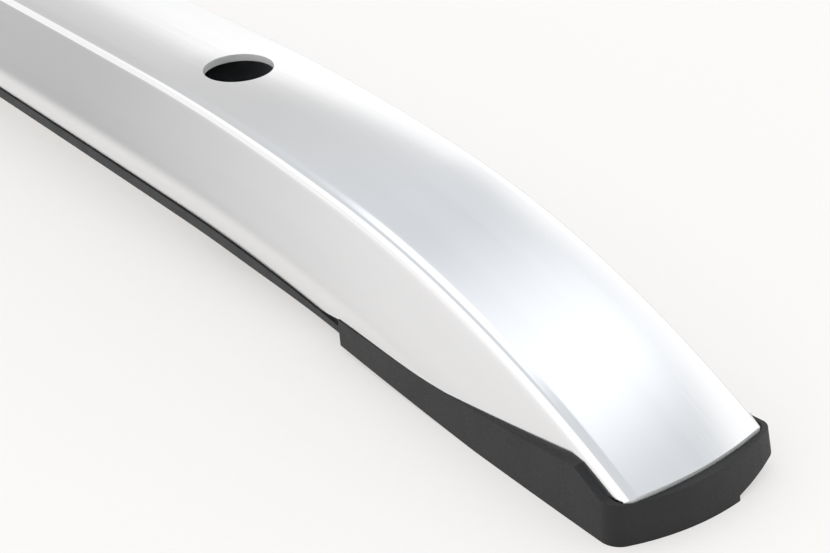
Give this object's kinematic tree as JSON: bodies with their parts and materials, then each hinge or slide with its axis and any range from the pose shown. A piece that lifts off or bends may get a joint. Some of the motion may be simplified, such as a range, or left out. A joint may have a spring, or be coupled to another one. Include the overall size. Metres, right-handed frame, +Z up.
{
  "type": "pair of roof rails",
  "caption": "Pair of arched aluminium roof rails with down-bent ends in moulded feet, seal strips underneath and access holes in the top for the mounting bolts.",
  "frame": {"origin": "midway between the rails and between their ends, level with the bases of the feet", "axes": "+X forward along the rails, +Y to the left, +Z up"},
  "size_m": [1.7482, 1.05, 0.0718],
  "materials": {
    "rail_aluminium": "satin anodised",
    "foot_plastic": "fine moulded grain",
    "seal_rubber": "matte",
    "spacer_plastic": "moulded",
    "plate_steel": "zinc plated"
  },
  "bodies": {
    "root": {"right_rail": "rail_aluminium", "right_front_foot": "foot_plastic", "right_rear_foot": "foot_plastic", "right_outer_strip": "seal_rubber", "right_inner_strip": "seal_rubber", "right_front_spacer": "spacer_plastic", "right_centre_spacer": "spacer_plastic", "right_rear_spacer": "spacer_plastic", "right_front_plate": "plate_steel", "right_centre_plate": "plate_steel", "right_rear_plate": "plate_steel", "left_rail": "rail_aluminium", "left_front_foot": "foot_plastic", "left_rear_foot": "foot_plastic", "left_outer_strip": "seal_rubber", "left_inner_strip": "seal_rubber", "left_front_spacer": "spacer_plastic", "left_centre_spacer": "spacer_plastic", "left_rear_spacer": "spacer_plastic", "left_front_plate": "plate_steel", "left_centre_plate": "plate_steel", "left_rear_plate": "plate_steel"}
  },
  "joints": []
}
